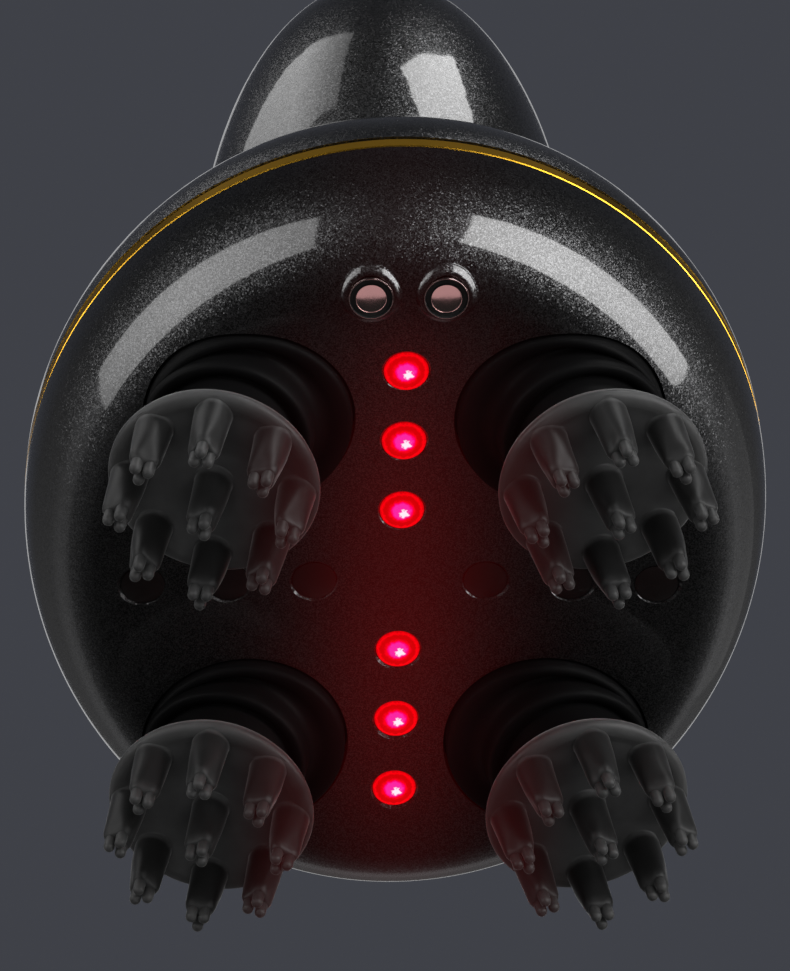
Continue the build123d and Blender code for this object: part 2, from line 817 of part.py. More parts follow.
for number, centre in enumerate(head_centres, start=1):
    direction = degrees(atan2(centre[1], centre[0]))
    first_tooth = meshed_tooth(direction, sun_teeth, sun_first_tooth, crank_teeth)

    with BuildPart() as crank_gear:
        with BuildSketch(wheel_plane(centre, gear_bottom)):
            with BuildLine():
                Polyline(*gear_points(drive_module, crank_teeth, first_tooth), close=True)
            make_face()
        extrude(amount=gear_height)
        with BuildSketch(wheel_plane(centre, base_plate_top + face_clearance)):
            Circle(crank_journal_radius + crank_shoulder)
        extrude(amount=gear_bottom - base_plate_top - face_clearance)
        with BuildSketch(wheel_plane(centre, base_plate_bottom)):
            Circle(crank_journal_radius - running_clearance)
        extrude(amount=gear_bottom - base_plate_bottom)
        with BuildSketch(wheel_plane(centre, gear_top)):
            Circle(crank_top_radius + crank_shoulder)
        extrude(amount=mid_plate_bottom - gear_top - face_clearance)
        with BuildSketch(wheel_plane(centre, gear_top)):
            Circle(crank_top_radius - running_clearance)
        extrude(amount=mid_plate_top - gear_top)
        with BuildSketch(head_plane(centre, -crank_pin_depth)):
            Circle(crank_pin_radius)
        extrude(amount=2 * crank_pin_depth, mode=Mode.SUBTRACT)
    crank_gear.part.label = f"crank_gear_{number}"
    export_step(crank_gear.part, f"parts/crank_gear_{number}.step")

    with BuildPart() as crank_pin:
        with BuildSketch(head_plane(centre, -crank_pin_depth)):
            Circle(crank_pin_radius)
        extrude(amount=crank_pin_depth + pin_end)
        with BuildSketch(head_plane(centre, stem_top - face_clearance)):
            Circle(crank_flange_radius)
        extrude(amount=-crank_flange_height)
        with BuildSketch(head_plane(centre, pin_end)):
            Circle(screw_radius)
        extrude(amount=-stem_screw_depth, mode=Mode.SUBTRACT)
    crank_pin.part.label = f"crank_pin_{number}"
    export_step(crank_pin.part, f"parts/crank_pin_{number}.step")

    with BuildPart() as stem_screw:
        with BuildSketch(head_plane(centre, pin_end)):
            Circle(stem_screw_radius)
        extrude(amount=stem_screw_height)
        with BuildSketch(head_plane(centre, pin_end)):
            Circle(screw_radius)
        extrude(amount=-stem_screw_depth)
    stem_screw.part.label = f"stem_screw_{number}"
    export_step(stem_screw.part, f"parts/stem_screw_{number}.step")

    with BuildPart() as head_stem:
        with BuildSketch(head_plane(centre, stem_top)):
            Circle(stem_radius)
        extrude(amount=disc_start - stem_top)
        with BuildSketch(head_plane(centre, stem_seal_start)):
            Circle(stem_seal_radius)
        extrude(amount=disc_start - stem_seal_start)
        with BuildSketch(head_plane(centre, disc_start)):
            Circle(stem_disc_radius)
        extrude(amount=stem_disc_height)
        with BuildSketch(head_plane(centre, recess_floor)):
            Circle(stem_screw_radius + stem_recess_clearance)
        extrude(amount=stem_recess_depth, mode=Mode.SUBTRACT)
        with BuildSketch(head_plane(centre, stem_top)):
            Circle(crank_pin_radius + running_clearance)
        extrude(amount=recess_floor - stem_top, mode=Mode.SUBTRACT)
    head_stem.part.label = f"head_stem_{number}"
    export_step(head_stem.part, f"parts/head_stem_{number}.step")

    # The soft head wraps the stem's disc. Its front is a shallow dish inside a lip.
    with BuildPart() as massage_head:
        with BuildSketch(head_section(centre)):
            with BuildLine():
                back = boot_end + face_clearance
                Polyline((boot_neck_radius, back), (stem_seal_radius, back),
                         (stem_seal_radius, disc_start), (stem_disc_radius, disc_start),
                         (stem_disc_radius, disc_end), (0, disc_end),
                         (0, rim_distance - head_dish))
                ThreePointArc((0, rim_distance - head_dish),
                              (head_radius / 2, rim_distance - head_dish_middle * head_dish),
                              (head_radius - 2 * head_lip, rim_distance - head_lip / 2))
                ThreePointArc((head_radius - 2 * head_lip, rim_distance - head_lip / 2),
                              (head_radius - head_lip, rim_distance),
                              (head_radius, rim_distance - head_lip))
                ThreePointArc((head_radius, rim_distance - head_lip),
                              (head_radius - head_belly, disc_start + head_lip / 2),
                              (boot_neck_radius, back))
            make_face()
        revolve(axis=Axis(pivot_of(centre), head_axis(centre)))
        with BuildSketch(head_plane(centre, finger_root)):
            Circle(finger_base_radius)
            with PolarLocations(finger_circle, finger_count):
                Circle(finger_base_radius)
        extrude(amount=finger_end - finger_root, taper=finger_taper)
        with Locations(head_plane(centre, nub_distance)):
            with PolarLocations(nub_circle, nub_count):
                Sphere(nub_radius)
            with PolarLocations(finger_circle, finger_count):
                with PolarLocations(nub_circle, nub_count):
                    Sphere(nub_radius)
    massage_head.part.label = f"massage_head_{number}"
    export_step(massage_head.part, f"parts/massage_head_{number}.step")

    # The boot seals the collar: a level flange and ring, then two steps along the stem.
    with BuildPart() as seal_boot:
        with BuildSketch(wheel_plane(centre, collar_height)):
            Circle(boot_flange_radius)
        extrude(amount=boot_flange)
        with BuildSketch(wheel_plane(centre, boot_web_height - boot_wall)):
            Circle(boot_radius)
        extrude(amount=boot_flange_top - boot_web_height + boot_wall)
        with BuildSketch(wheel_plane(centre, boot_web_height)):
            Circle(boot_radius - boot_wall)
        extrude(amount=boot_flange_top - boot_web_height, mode=Mode.SUBTRACT)
        with BuildSketch(head_plane(centre, boot_step_start)):
            Circle(boot_step_radius)
        extrude(amount=boot_step_end - boot_step_start)
        with BuildSketch(head_plane(centre, boot_step_end)):
            Circle(boot_neck_radius)
        extrude(amount=boot_end - boot_step_end)
        with BuildSketch(head_plane(centre, boot_step_start - boot_wall)):
            Circle(boot_step_radius - boot_wall)
        extrude(amount=boot_step_end - boot_step_start, mode=Mode.SUBTRACT)
        with BuildSketch(head_plane(centre, boot_step_start)):
            Circle(stem_seal_radius + face_clearance)
        extrude(amount=boot_end - boot_step_start, mode=Mode.SUBTRACT)
    seal_boot.part.label = f"seal_boot_{number}"
    export_step(seal_boot.part, f"parts/seal_boot_{number}.step")

with BuildPart() as clamp_rings:
    with BuildSketch(level(boot_flange_top)):
        with Locations(*head_centres):
            Circle(boot_flange_radius)
            Circle(collar_radius, mode=Mode.SUBTRACT)
    extrude(amount=base_plate_bottom - boot_flange_top)
clamp_rings.part.label = "boot_clamp_rings"
export_step(clamp_rings.part, "parts/boot_clamp_rings.step")

# ---------------------------------------------------------------- battery and main board

with BuildPart() as battery_cell:
    with BuildSketch(grip_plane(cell_start)):
        with Locations((0, cell_offset)):
            Circle(cell_radius)
    extrude(amount=cell_length)
    fillet(battery_cell.edges().filter_by(GeomType.CIRCLE), cell_edge)
    with BuildSketch(grip_plane(cell_start + cell_length)):
        with Locations((0, cell_offset)):
            Circle(cell_tip_radius)
    extrude(amount=cell_tip_height)
battery_cell.part.label = "battery_cell"
export_step(battery_cell.part, "parts/battery_cell.step")

with BuildPart() as battery_holder:
    with BuildSketch(grip_plane(cell_start)):
        Circle(bulkhead_radius)
        with Locations((0, bulkhead_flat)):
            Rectangle(2 * bulkhead_radius, bulkhead_radius, align=(Align.CENTER, Align.MIN),
                      mode=Mode.SUBTRACT)
    extrude(amount=-bulkhead_height)
    with BuildSketch(grip_plane(cell_start)):
        with Locations((0, cell_offset)):
            Circle(cell_radius + face_clearance + cradle_wall)
            Circle(cell_radius + face_clearance, mode=Mode.SUBTRACT)
        Rectangle(4 * cell_radius, 2 * cell_radius, align=(Align.CENTER, Align.MIN),
                  mode=Mode.SUBTRACT)
    extrude(amount=cradle_length)
battery_holder.part.label = "battery_holder"
export_step(battery_holder.part, "parts/battery_holder.step")

with BuildPart() as main_board:
    with BuildSketch(level(main_board_bottom)):
        with Locations((0, main_board_middle)):
            Rectangle(main_board_width, main_board_length)
        Circle(motor_radius + main_board_clearance, mode=Mode.SUBTRACT)
        with Locations(*main_board_posts):
            Circle(screw_radius, mode=Mode.SUBTRACT)
    extrude(amount=board_height)
main_board.part.label = "main_board"
export_step(main_board.part, "parts/main_board.step")

with BuildPart() as board_components:
    with BuildSketch(level(main_board_top)):
        with Locations((0, main_board_middle + main_board_length / 4)):
            Rectangle(chip_width, chip_width)
        with Locations((-main_board_post_x, 0), (main_board_post_x, 0)):
            Rectangle(driver_width, driver_length)
        with Locations((-connector_x, main_board_middle + main_board_length / 3)):
            Rectangle(connector_width, connector_length)
    extrude(amount=chip_height)
    with BuildSketch(level(main_board_top)):
        with Locations((connector_x, main_board_middle + main_board_length / 3)):
            Circle(capacitor_radius)
    extrude(amount=capacitor_height)
board_components.part.label = "board_components"
export_step(board_components.part, "parts/board_components.step")

with BuildPart() as main_board_screws:
    with BuildSketch(level(main_board_top)):
        with Locations(*main_board_posts):
            Circle(screw_head_radius)
    extrude(amount=screw_head_height)
    with BuildSketch(level(main_board_top)):
        with Locations(*main_board_posts):
            Circle(screw_radius)
    extrude(amount=motor_plate_top - main_board_top)
main_board_screws.part.label = "main_board_screws"
export_step(main_board_screws.part, "parts/main_board_screws.step")

# ---------------------------------------------------------------- power button

lip_top = -button_lip
lip_bottom = lip_top - button_lip_height

with BuildPart() as button_bezel:
    with BuildSketch(button_plane(-switch_depth)):
        Circle(bezel_radius)
    extrude(amount=switch_depth + bezel_proud)
    fillet(button_bezel.edges().filter_by(GeomType.CIRCLE).sort_by(Axis.Z)[-1], bezel_edge)
    with BuildSketch(button_plane(-switch_depth)):
        Circle(bezel_radius - bezel_wall)
    extrude(amount=switch_depth + lip_top + face_clearance, mode=Mode.SUBTRACT)
    with BuildSketch(button_plane(-switch_depth)):
        Circle(button_radius + button_clearance)
    extrude(amount=switch_depth + bezel_proud + cut_margin, mode=Mode.SUBTRACT)
button_bezel.part.label = "button_bezel"
export_step(button_bezel.part, "parts/button_bezel.step")

with BuildPart() as power_button:
    with BuildSketch(button_plane(lip_bottom)):
        Circle(button_radius)
    extrude(amount=button_proud - lip_bottom)
    fillet(power_button.edges().filter_by(GeomType.CIRCLE).sort_by(Axis.Z)[-1], button_edge)
    with BuildSketch(button_plane(lip_bottom)):
        Circle(bezel_radius - bezel_wall - face_clearance)
    extrude(amount=button_lip_height)
power_button.part.label = "power_button"
export_step(power_button.part, "parts/power_button.step")

with BuildPart() as button_spring:
    with BuildSketch(button_plane(-switch_depth)):
        Circle(spring_radius)
        Circle(spring_radius - spring_wall, mode=Mode.SUBTRACT)
    extrude(amount=switch_depth + lip_bottom)
button_spring.part.label = "button_spring"
export_step(button_spring.part, "parts/button_spring.step")

with BuildPart() as tact_switch:
    with BuildSketch(button_plane(-switch_depth)):
        Rectangle(switch_width, switch_width)
    extrude(amount=switch_body_height)
    with BuildSketch(button_plane(-switch_depth)):
        Circle(switch_plunger_radius)
    extrude(amount=switch_depth + lip_bottom - button_travel - face_clearance)
tact_switch.part.label = "tact_switch"
export_step(tact_switch.part, "parts/tact_switch.step")

with BuildPart() as switch_board:
    with BuildSketch(button_plane(-switch_depth)):
        Circle(bezel_radius - face_clearance)
    extrude(amount=-board_height)
switch_board.part.label = "switch_board"
export_step(switch_board.part, "parts/switch_board.step")

print("face height", round(face_height, 4), "pivot height", round(face_height + head_pivot, 4))
print("head centres", [(round(x, 3), round(y, 3)) for x, y in head_centres])
print("button foot", [round(v, 3) for v in button_foot])
print("button normal", [round(v, 5) for v in button_normal])
print("contact foot", round(face_height + contact_height, 4))
print("contact normal", [round(v, 5) for v in contact_normal])
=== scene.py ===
import json
from math import atan2, cos, pi, radians, sin, sqrt

import bmesh
import bpy
import numpy as np
from mathutils import Matrix, Vector


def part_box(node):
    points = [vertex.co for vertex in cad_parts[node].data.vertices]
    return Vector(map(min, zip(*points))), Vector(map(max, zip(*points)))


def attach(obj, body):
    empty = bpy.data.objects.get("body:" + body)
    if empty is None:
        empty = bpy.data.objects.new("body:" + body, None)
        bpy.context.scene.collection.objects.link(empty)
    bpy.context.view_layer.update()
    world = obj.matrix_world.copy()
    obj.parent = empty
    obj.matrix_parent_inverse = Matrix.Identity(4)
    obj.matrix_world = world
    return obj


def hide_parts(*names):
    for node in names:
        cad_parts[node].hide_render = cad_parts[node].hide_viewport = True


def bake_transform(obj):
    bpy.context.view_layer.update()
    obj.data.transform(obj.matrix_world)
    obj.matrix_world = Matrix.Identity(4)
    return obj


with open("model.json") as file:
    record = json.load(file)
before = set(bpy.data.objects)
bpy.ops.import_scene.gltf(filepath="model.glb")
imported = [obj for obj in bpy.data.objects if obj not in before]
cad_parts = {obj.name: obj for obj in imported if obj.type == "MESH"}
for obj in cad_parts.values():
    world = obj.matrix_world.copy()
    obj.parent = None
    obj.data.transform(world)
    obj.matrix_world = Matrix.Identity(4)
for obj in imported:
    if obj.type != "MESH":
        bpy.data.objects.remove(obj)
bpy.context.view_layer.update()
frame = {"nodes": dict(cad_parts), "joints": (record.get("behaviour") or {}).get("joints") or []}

MM = 0.001

# ---------------------------------------------------------------- places from the frame

# Heights count from the middle of the massage face, and sizes are in millimetres.
ring_bottom = 17.0
head_pivot = 12.0
head_tilt = radians(10)
ring_low, ring_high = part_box("trim_ring")
face_height = ring_low.z / MM - ring_bottom
half_width = ring_high.x / MM
half_length = ring_high.y / MM
wall = 2.2
dish_radius = 472.0
rollover_width = 12.1
rollover_bottom = -1.9
face_floor = 1.8
dish_blend = 1.6
collar_radius = 14.1
lens_radius = 2.95
light_pitch = 11.5
contact_x = 4.9
contact_y = 46.75
contact_seal_radius = 2.95

heads = {}
for joint in frame["joints"]:
    if joint["name"].startswith("crank_"):
        number = int(joint["name"].split("_")[1])
        heads[number] = (joint["pos_m"][0] / MM, joint["pos_m"][1] / MM)


def side_of(centre):
    return 1 if centre[0] > 0 else -1


def place(x, y, height):
    """A point of the frame, in metres."""
    return Vector((x * MM, y * MM, (face_height + height) * MM))


def axes(origin, x_axis, z_axis):
    """Matrix of a local frame."""
    z_axis = Vector(z_axis).normalized()
    x_axis = (Vector(x_axis) - z_axis * z_axis.dot(x_axis)).normalized()
    turn = Matrix((x_axis, z_axis.cross(x_axis), z_axis)).transposed().to_4x4()
    return Matrix.Translation(origin) @ turn


def head_frame(centre, tilt=head_tilt):
    """Local frame of a head: z runs down its axis from the pivot, x points outwards."""
    side = side_of(centre)
    outward = (side * cos(tilt), 0, sin(tilt))
    return axes(place(*centre, head_pivot), outward, (side * sin(tilt), 0, -cos(tilt)))


# ---------------------------------------------------------------- mesh helpers

def curve_through(points, steps=5):
    """A smooth line through control points, by Catmull-Rom spline."""
    control = np.array([points[0], *points, points[-1]], float)
    line = []
    for a, b, c, d in zip(control, control[1:], control[2:], control[3:]):
        for t in np.linspace(0, 1, steps, endpoint=False):
            line.append(0.5 * (2 * b + (c - a) * t + (2 * a - 5 * b + 4 * c - d) * t**2
                               + (3 * b - a - 3 * c + d) * t**3))
    line.append(control[-2])
    return [tuple(p) for p in line]


def angles_round(sides):
    return [2 * pi * n / sides for n in range(sides)]


def bands(count, sides):
    """Faces of the bands between rings of points that follow each other."""
    faces = []
    for low in range(0, count * sides, sides):
        for n in range(sides):
            m = (n + 1) % sides
            faces.append([low + n, low + m, low + sides + m, low + sides + n])
    return faces


def lathe(profile, sides=96, radius_at=None, height_at=None):
    """Rings of points about the z axis; a profile end at radius 0 closes to one point."""
    points, faces, rings = [], [], []
    for radius, height in profile:
        if radius < 1e-6:
            rings.append([len(points)] * sides)
            points.append((0, 0, height))
            continue
        ring = []
        for angle in angles_round(sides):
            r = radius_at(radius, height, angle) if radius_at else radius
            h = height_at(r, height, angle) if height_at else height
            ring.append(len(points))
            points.append((r * cos(angle), r * sin(angle), h))
        rings.append(ring)
    for low, high in zip(rings, rings[1:]):
        for n in range(sides):
            m = (n + 1) % sides
            face = []
            for index in (low[n], low[m], high[m], high[n]):
                if index not in face:
                    face.append(index)
            faces.append(face)
    return points, faces


def joined(*parts):
    """One list of points and faces from several."""
    points, faces = [], []
    for part_points, part_faces in parts:
        start = len(points)
        points += part_points
        faces += [[index + start for index in face] for face in part_faces]
    return points, faces


def moved(part, matrix):
    points, faces = part
    return [tuple(matrix @ Vector(p)) for p in points], faces


def new_piece(name, part, material, matrix=None, crease=35):
    """An object of a mesh in millimetres, smooth apart from edges sharper than the crease angle."""
    points, faces = part
    mesh = bpy.data.meshes.new(name)
    mesh.from_pydata([tuple(MM * c for c in p) for p in points], [], faces)
    mesh.validate()
    mesh.materials.append(material)
    piece = bpy.data.objects.new(name, mesh)
    bpy.context.scene.collection.objects.link(piece)
    if matrix is not None:
        piece.matrix_world = matrix
    finish_mesh(piece, crease)
    return piece


def finish_mesh(piece, crease):
    """Outward normals, smooth shading and sharp edges."""
    work = bmesh.new()
    work.from_mesh(piece.data)
    bmesh.ops.recalc_face_normals(work, faces=work.faces)
    work.to_mesh(piece.data)
    work.free()
    piece.data.shade_smooth()
    piece.data.set_sharp_from_angle(angle=radians(crease))


# ---------------------------------------------------------------- materials

mottle_scale, wear_scale = 90, 260
flake_scale, flake_tilt, flake_range = 7000, 0.35, (0.3, 1.7)
flaked_wear_scale, coat_grain = 200, 2600
bump_height = 0.05 * MM


def grey(value):
    return (value, value, value)


class Graph:
    """The node tree of a material, lamp or world, with short ways to add the nodes they share.

    A value is a number, a colour or another node's output."""

    def __init__(self, owner):
        self.nodes, self.links = owner.node_tree.nodes, owner.node_tree.links

    def put(self, socket, value):
        if isinstance(value, bpy.types.NodeSocket):
            self.links.new(value, socket)
        else:
            socket.default_value = value

    def add(self, kind, **settings):
        node = self.nodes.new(f"ShaderNode{kind}")
        for name, setting in settings.items():
            setattr(node, name, setting)
        return node

    def maths(self, operation, *values):
        node = self.add("Math", operation=operation)
        for socket, value in zip(node.inputs, values):
            self.put(socket, value)
        return node.outputs["Value"]

    def vector_maths(self, operation, *values, scale=None):
        node = self.add("VectorMath", operation=operation)
        for socket, value in zip(node.inputs, values):
            self.put(socket, value)
        if scale is not None:
            self.put(node.inputs["Scale"], scale)
        gives_number = operation in ("LENGTH", "DISTANCE", "DOT_PRODUCT")
        return node.outputs["Value" if gives_number else "Vector"]

    def split(self, vector):
        node = self.add("SeparateXYZ")
        self.put(node.inputs["Vector"], vector)
        return node.outputs

    def noise(self, local, scale, detail=3.0):
        node = self.add("TexNoise")
        node.inputs["Scale"].default_value = scale
        node.inputs["Detail"].default_value = detail
        self.put(node.inputs["Vector"], local)
        return node.outputs["Fac"]

    def spread(self, value, start=0.0, end=1.0, low=0.0, high=1.0, smooth=False):
        """A value that goes from start to end, stretched to go from low to high."""
        node = self.add("MapRange", interpolation_type="SMOOTHSTEP" if smooth else "LINEAR")
        limits = {"From Min": start, "From Max": end, "To Min": low, "To Max": high}
        for name, limit in limits.items():
            node.inputs[name].default_value = limit
        self.put(node.inputs["Value"], value)
        return node.outputs["Result"]

    def colours(self, value, stops):
        """Colour by a value from 0 to 1, through stops of place and colour."""
        node = self.add("ValToRGB")
        elements = node.color_ramp.elements
        for element, (position, colour) in zip(elements, (stops[0], stops[-1])):
            element.position, element.color = position, (*colour, 1)
        for position, colour in stops[1:-1]:
            elements.new(position).color = (*colour, 1)
        self.put(node.inputs["Fac"], value)
        return node.outputs["Color"]

    def mix(self, factor, a, b, data_type="RGBA", blend_type="MIX"):
        node = self.add("Mix", data_type=data_type, blend_type=blend_type)
        for name, value in (("Factor", factor), ("A", a), ("B", b)):
            self.put(node.inputs[name], value)
        return node.outputs["Result"]

    def mix_shaders(self, factor, first, second):
        node = self.add("MixShader")
        for socket, value in zip(node.inputs, (factor, first, second)):
            self.put(socket, value)
        return node.outputs["Shader"]

    def bump(self, height, strength):
        node = self.add("Bump")
        node.inputs["Strength"].default_value = strength
        node.inputs["Distance"].default_value = bump_height
        self.put(node.inputs["Height"], height)
        return node.outputs["Normal"]


def shader(name, base, roughness, **sockets):
    """A new material, its graph, its shader's inputs and the local coordinates."""
    material = bpy.data.materials.new(name)
    material.use_nodes = True
    graph = Graph(material)
    inputs = graph.nodes["Principled BSDF"].inputs
    inputs["Base Color"].default_value = (*base, 1)
    inputs["Roughness"].default_value = roughness
    for socket, value in sockets.items():
        inputs[socket.replace("_", " ").title().replace("Ior", "IOR")].default_value = value
    return material, graph, inputs, graph.add("TexCoord").outputs["Object"]


def moulded(name, base, roughness, grain=1800, bump=0.12, vary=0.25, **sockets):
    """A plain finish with mottled colour, uneven roughness and a fine grain."""
    material, graph, inputs, local = shader(name, base, roughness, **sockets)
    darker = tuple(c * (1 - vary) for c in base)
    lighter = tuple(min(1, c * (1 + vary)) for c in base)
    mottle = graph.noise(local, mottle_scale)
    graph.put(inputs["Base Color"], graph.colours(mottle, [(0.3, darker), (0.7, lighter)]))
    wear = graph.noise(local, wear_scale)
    graph.put(inputs["Roughness"],
              graph.spread(wear, low=0.85 * roughness, high=min(1, 1.15 * roughness)))
    graph.put(inputs["Normal"], graph.bump(graph.noise(local, grain, 2), bump))
    return material


def flaked(name, flake_colour, roughness, coat_roughness):
    """Black paint with fine metal flakes, each leaning its own way, under a clear coat."""
    material, graph, inputs, local = shader(
        name, flake_colour, roughness, metallic=0.9, coat_weight=1.0,
        coat_roughness=coat_roughness)
    flakes = graph.add("TexVoronoi")
    flakes.inputs["Scale"].default_value = flake_scale
    graph.put(flakes.inputs["Vector"], local)
    own_way = flakes.outputs["Color"]
    from_middle = graph.vector_maths("SUBTRACT", own_way, grey(0.5))
    tilt = graph.vector_maths("SCALE", from_middle, scale=flake_tilt)
    leaning = graph.vector_maths("ADD", graph.add("NewGeometry").outputs["Normal"], tilt)
    graph.put(inputs["Normal"], graph.vector_maths("NORMALIZE", leaning))
    wear = graph.noise(local, flaked_wear_scale)
    graph.put(inputs["Roughness"], graph.spread(wear, low=0.9 * roughness, high=1.1 * roughness))
    brightness = graph.add("TexWhiteNoise")
    graph.put(brightness.inputs["Vector"], own_way)
    dim, bright = (tuple(share * c for c in flake_colour) for share in flake_range)
    graph.put(inputs["Base Color"],
              graph.colours(brightness.outputs["Value"], [(0.2, dim), (1.0, bright)]))
    graph.put(inputs["Coat Normal"], graph.bump(graph.noise(local, coat_grain, 2), 0.05))
    return material


def painted_light_spill(material, colour, strength, reach_across, reach_along, middle):
    """Painted red glow: emission in the surface's own material, standing in for the light that
    spills from the row of lenses, most at a middle place along it.
    """
    graph = Graph(material)
    inputs = graph.nodes["Principled BSDF"].inputs
    local = graph.nodes["Texture Coordinate"].outputs["Object"]
    away = graph.vector_maths(
        "MULTIPLY_ADD", local, (1 / (reach_across * MM), 1 / (reach_along * MM), 0),
        (0, -middle / reach_along, 0))
    squared = graph.vector_maths("DOT_PRODUCT", away, away)
    fading = graph.maths("EXPONENT", graph.maths("MULTIPLY", squared, -0.5))
    graph.put(inputs["Emission Strength"], graph.maths("MULTIPLY", fading, strength))
    inputs["Emission Color"].default_value = (*colour, 1)


# The housings have the same paint, but only the massage face gets a painted red glow, in place of
# the lenses' light falling on it.
black_paint = {"flake_colour": (0.041, 0.041, 0.042), "roughness": 0.29, "coat_roughness": 0.06}
painted_red_spill = {"colour": (1.0, 0.004, 0.008), "strength": 0.045,
             "reach_across": 8, "reach_along": 29, "middle": 6}
housing_paint = flaked("housing_black", **black_paint)
face_paint = flaked("face_black", **black_paint)
painted_light_spill(face_paint, **painted_red_spill)
gloss_black = moulded("gloss_black", (0.02, 0.02, 0.023), 0.16, grain=900, bump=0.05)
gold = moulded("gold_trim", (0.78, 0.42, 0.03), 0.22, grain=2600, bump=0.08, vary=0.1,
               metallic=1.0)
gasket_rubber = moulded("gasket_rubber", (0.006, 0.006, 0.006), 0.6, bump=0.2,
                        specular_ior_level=0.2)
boot_silicone = moulded("boot_silicone", (0.002, 0.002, 0.0021), 0.55, grain=1500, bump=0.06,
                        specular_ior_level=0.04)
# Painted red glow on the boots, in place of the lenses' light falling on them.
painted_light_spill(boot_silicone, (1.0, 0.1, 0.12), strength=0.009,
            reach_across=8, reach_along=36, middle=0)
acetal = moulded("engineering_plastic", (0.72, 0.72, 0.68), 0.45, vary=0.06)
stem_plastic = moulded("stem_plastic", (0.05, 0.05, 0.055), 0.5)
steel = moulded("steel", (0.58, 0.58, 0.58), 0.3, grain=2600, vary=0.08, metallic=1.0)
zinc = moulded("zinc_screws", (0.5, 0.5, 0.48), 0.36, vary=0.15, metallic=1.0)
can_steel = moulded("motor_steel", (0.56, 0.56, 0.58), 0.33, vary=0.1, metallic=1.0)
brass = moulded("brass_gear", (0.62, 0.42, 0.14), 0.32, vary=0.12, metallic=1.0)
board_green = moulded("board_green", (0.02, 0.12, 0.05), 0.35, grain=700, bump=0.25)
chip_black = moulded("chip_black", (0.02, 0.02, 0.02), 0.45)
led_white = moulded("led_white", (0.8, 0.76, 0.62), 0.3, vary=0.08)
# The contact metal's pink tint is a painted reflection of the red lights.
contact_metal = moulded("contact_metal", (0.62, 0.47, 0.45), 0.12, grain=2400, bump=0.04,
                        vary=0.06, metallic=1.0)
cell_wrap = moulded("cell_wrap", (0.03, 0.08, 0.28), 0.25, grain=500, bump=0.06)
dark_lens = moulded("dark_lens", (0.006, 0.004, 0.004), 0.22, grain=600, bump=0.03,
                    specular_ior_level=0.4)
# The dark lenses get the same painted red glow.
painted_light_spill(dark_lens, **painted_red_spill)

painted_glow = 0.02
inner_shade = 0.45


def silicone():
    """Smoky soft rubber: paler in the thin disc, darker along the thick fingers.

    On the side that faces the lenses, which is the head's -x side, a painted red glow (emission)
    stands in for their light, and the colour there is darkened as painted shade."""
    material, graph, inputs, local = shader(
        "smoky_silicone", grey(0.02), 0.45, specular_ior_level=0.14, subsurface_weight=0.25,
        subsurface_radius=(0.9, 0.85, 0.85), subsurface_scale=1.5 * MM, sheen_weight=0.2,
        sheen_roughness=0.25)
    in_head = graph.split(local)
    # The ramp's lighter end at the toes is a painted highlight.
    along = graph.colours(graph.spread(in_head["Z"], disc_front * MM, finger_end * MM), [
        (0.0, (0.044, 0.044, 0.0445)), (0.09, grey(0.042)), (0.15, grey(0.01)),
        (0.74, grey(0.009)), (0.86, grey(0.018)), (1.0, grey(0.036))])
    # Painted red glow: emission on the side that faces the lenses.
    graph.put(inputs["Emission Strength"],
              graph.spread(in_head["X"], -1 * MM, -16 * MM, high=painted_glow, smooth=True))
    inputs["Emission Color"].default_value = (1.0, 0.03, 0.04, 1)
    # Painted shade: the colour is darkened on the side that faces the lenses.
    shade = graph.spread(in_head["X"], 2 * MM, -12 * MM, 1.0, inner_shade)
    blotch = graph.colours(graph.noise(local, 350), [(0.3, grey(0.75)), (0.7, grey(1.0))])
    mottled = graph.mix(1.0, along, blotch, blend_type="MULTIPLY")
    graph.put(inputs["Base Color"], graph.vector_maths("SCALE", mottled, scale=shade))
    fine = graph.noise(local, 2500)
    graph.put(inputs["Roughness"], graph.spread(fine, low=0.38, high=0.52))
    graph.put(inputs["Normal"], graph.bump(fine, 0.08))
    return material


hot_spot = (0.3, 0.45)
hot_spot_edge = (1.45, 1.15)
raggedness = 1.4


def lit_lens():
    """A red light: a ragged white spot where the diode sits, violet round it, then deep red."""
    material, graph, inputs, local = shader("red_lens", (0.02, 0.0, 0.001), 0.25,
                                            specular_ior_level=0.2)
    per_radius = 1 / (lens_radius * MM)
    scaled = graph.vector_maths("MULTIPLY", local, (per_radius, per_radius, 0))
    wobble = graph.spread(graph.noise(local, 2200), low=-0.12, high=0.12)
    from_middle = graph.maths("ADD", graph.vector_maths("LENGTH", scaled), wobble)
    rings = graph.colours(from_middle, [
        (0.38, (0.9, 0.02, 0.36)), (0.46, (0.95, 0.0, 0.16)), (0.52, (1.0, 0.0, 0.012)),
        (0.66, (0.62, 0.0, 0.001)), (0.8, (0.6, 0.0, 0.001)), (0.9, (1.0, 0.0, 0.004)),
        (1.0, (0.6, 0.0, 0.002))])
    flat = graph.vector_maths("MULTIPLY", local, (1, 1, 0))
    from_spot = graph.vector_maths("DISTANCE", flat, (hot_spot[0] * MM, hot_spot[1] * MM, 0))
    ragged = graph.maths("MULTIPLY_ADD", graph.noise(local, 2600), raggedness * MM, from_spot)
    spot = graph.spread(ragged, *(edge * MM for edge in hot_spot_edge))
    graph.put(inputs["Emission Color"], graph.mix(spot, rings, (1.0, 0.85, 0.95, 1)))
    inputs["Emission Strength"].default_value = 1.0
    return material


# ---------------------------------------------------------------- massage heads

disc_front = 27.25
disc_sag = 0.55
disc_rim = 11.3
finger_circle = 11.0
finger_end = 37.85
toe_circle = 1.0
toe_radius = 0.76
toe_end = 38.93
toe_foot = 1.04
toe_length = 3.2
flute_start, flute_length, flute_depth = 3.5, 5.0, 0.16

smoky_silicone = silicone()
red_lens = lit_lens()


def disc_surface(radius):
    """How far down the head's axis the disc's dished front lies."""
    return disc_front + disc_sag * min(1, radius / disc_rim) ** 2


